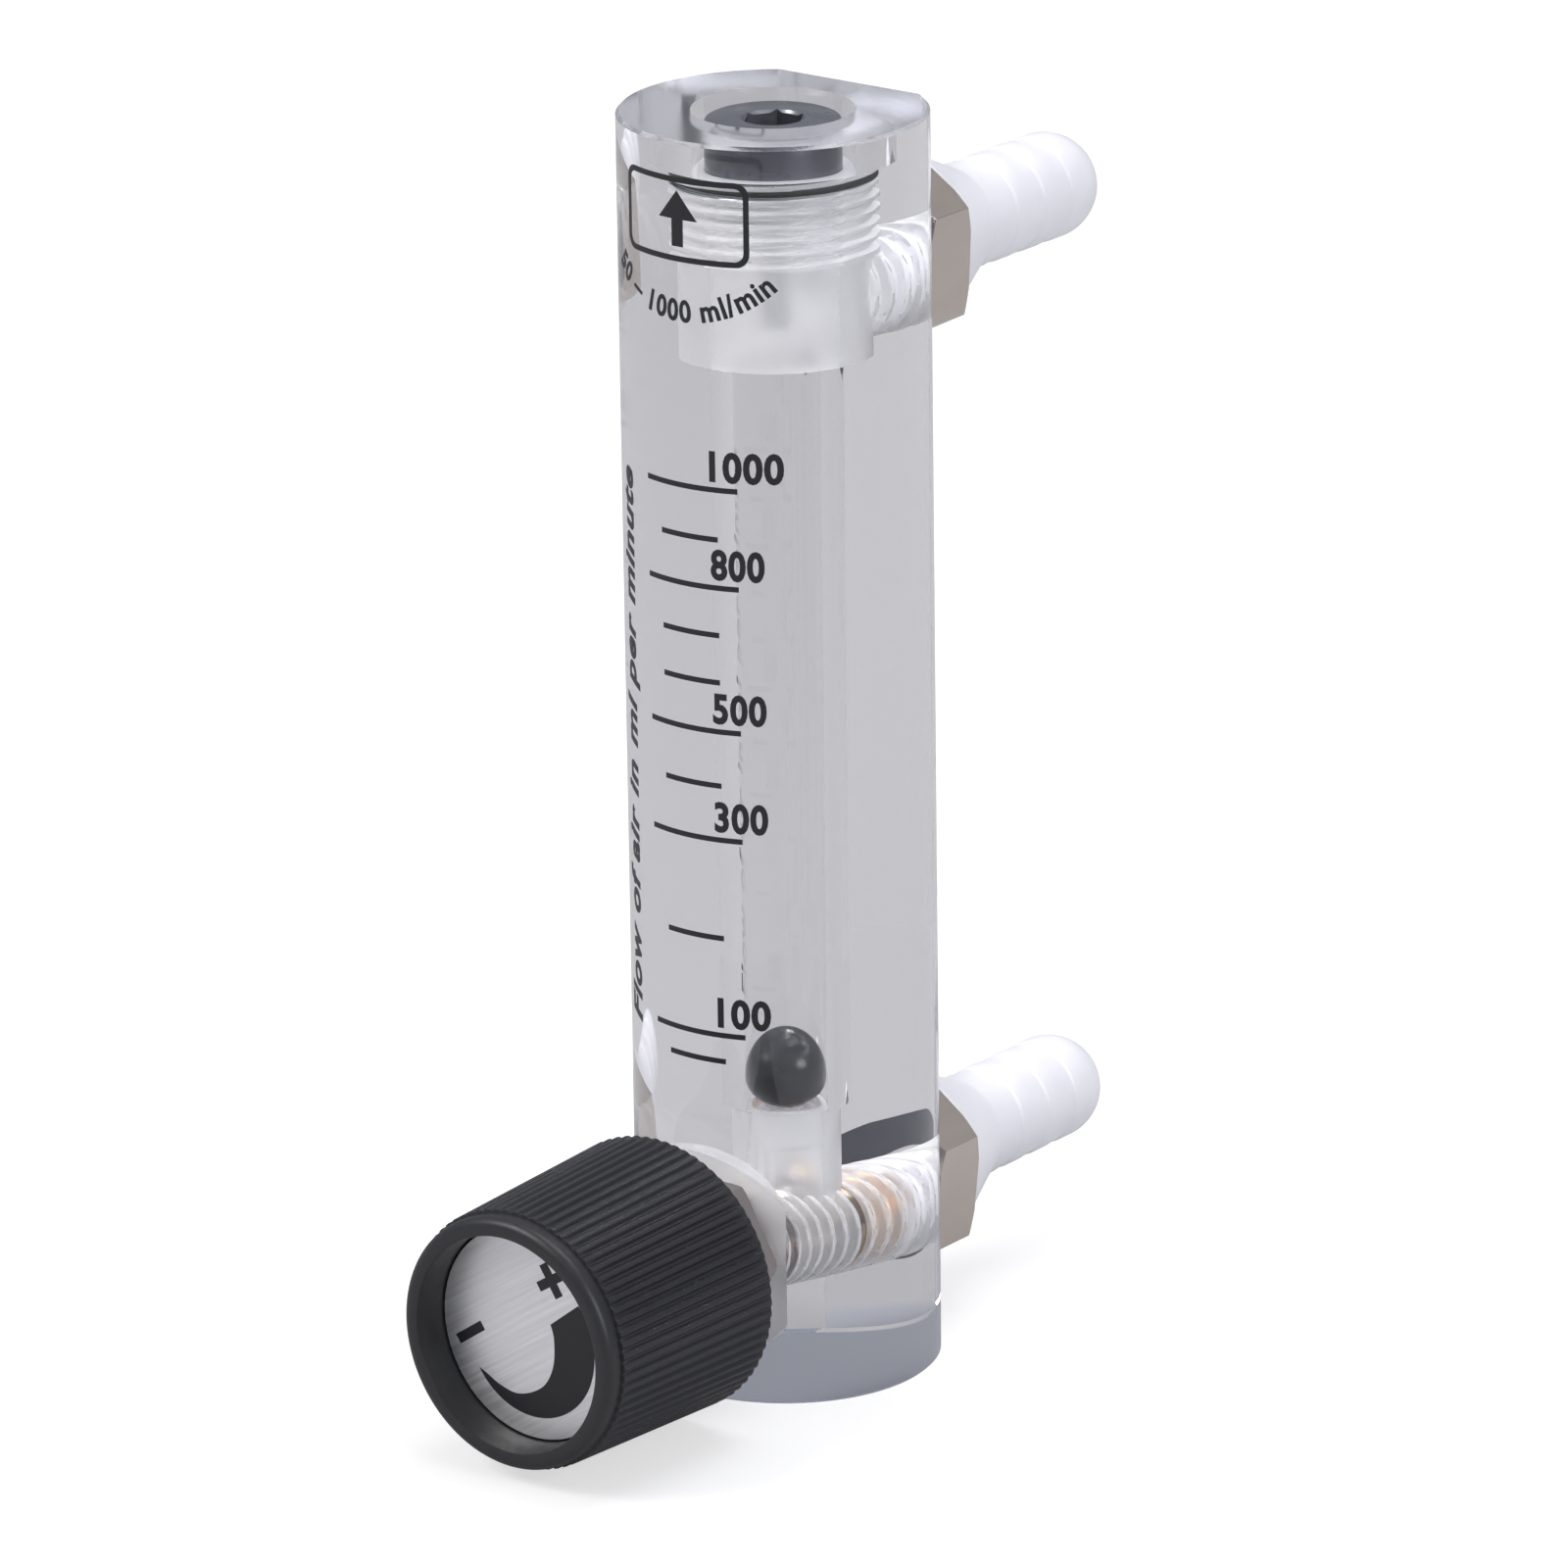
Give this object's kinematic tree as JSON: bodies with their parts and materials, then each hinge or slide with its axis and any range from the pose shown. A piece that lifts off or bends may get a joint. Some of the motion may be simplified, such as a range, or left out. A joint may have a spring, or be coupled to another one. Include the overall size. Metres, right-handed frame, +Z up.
{
  "type": "gas flow meter",
  "caption": "Variable-area gas flow meter: clear flat-backed bar with a tapered bore and ball float, needle valve knob at the front, barbed hose tails with lock nuts at the back.",
  "frame": {"origin": "on the clear bar's axis, at its flat foot", "axes": "+Z up along the bar, +Y out of the flat back along the hose tails, the knob faces -Y"},
  "size_m": [0.0224, 0.0697, 0.095],
  "materials": {
    "clear_acrylic": "gloss",
    "clear_bushing": "satin",
    "black_glass": "gloss",
    "steel": "satin",
    "seal_rubber": "matte",
    "white_nylon": "satin",
    "nickel_plate": "gloss",
    "bare_brass": "satin",
    "black_knob": "satin",
    "disc_aluminium": "satin"
  },
  "bodies": {
    "meter": {"meter_body": "clear_acrylic", "float_seat": "clear_bushing", "top_plug": "steel", "top_plug_oring": "seal_rubber", "upper_fitting": "white_nylon", "lower_fitting": "white_nylon", "upper_lock_nut": "nickel_plate", "lower_lock_nut": "nickel_plate", "upper_port_oring": "seal_rubber", "lower_port_oring": "seal_rubber", "valve_seat": "bare_brass", "valve_bonnet": "nickel_plate", "bonnet_oring": "seal_rubber"},
    "float": {"float_ball": "black_glass"},
    "stem_seal": {"stem_oring": "seal_rubber"},
    "knob_and_stem": {"knob": "black_knob", "knob_disc": "disc_aluminium", "knob_screw": "steel", "valve_stem": "steel"}
  },
  "joints": [
    {"name": "float_rise", "type": "slide", "parent": "meter", "child": "float", "axis": [0, 0, 1], "range_m": [0, 0.05316]},
    {"name": "stem_travel", "type": "slide", "parent": "meter", "child": "stem_seal", "axis": [0, -1, 0], "range_m": [0, 0.00201]},
    {"name": "knob_turn", "type": "hinge", "parent": "stem_seal", "child": "knob_and_stem", "pos_m": [0, -0.0246, 0.0109], "axis": [0, -1, 0], "range_deg": [0, 1440]}
  ],
  "couplings": [
    {"joint": "stem_travel", "follows": "knob_turn", "m_per_rad": 0.000079577}
  ]
}
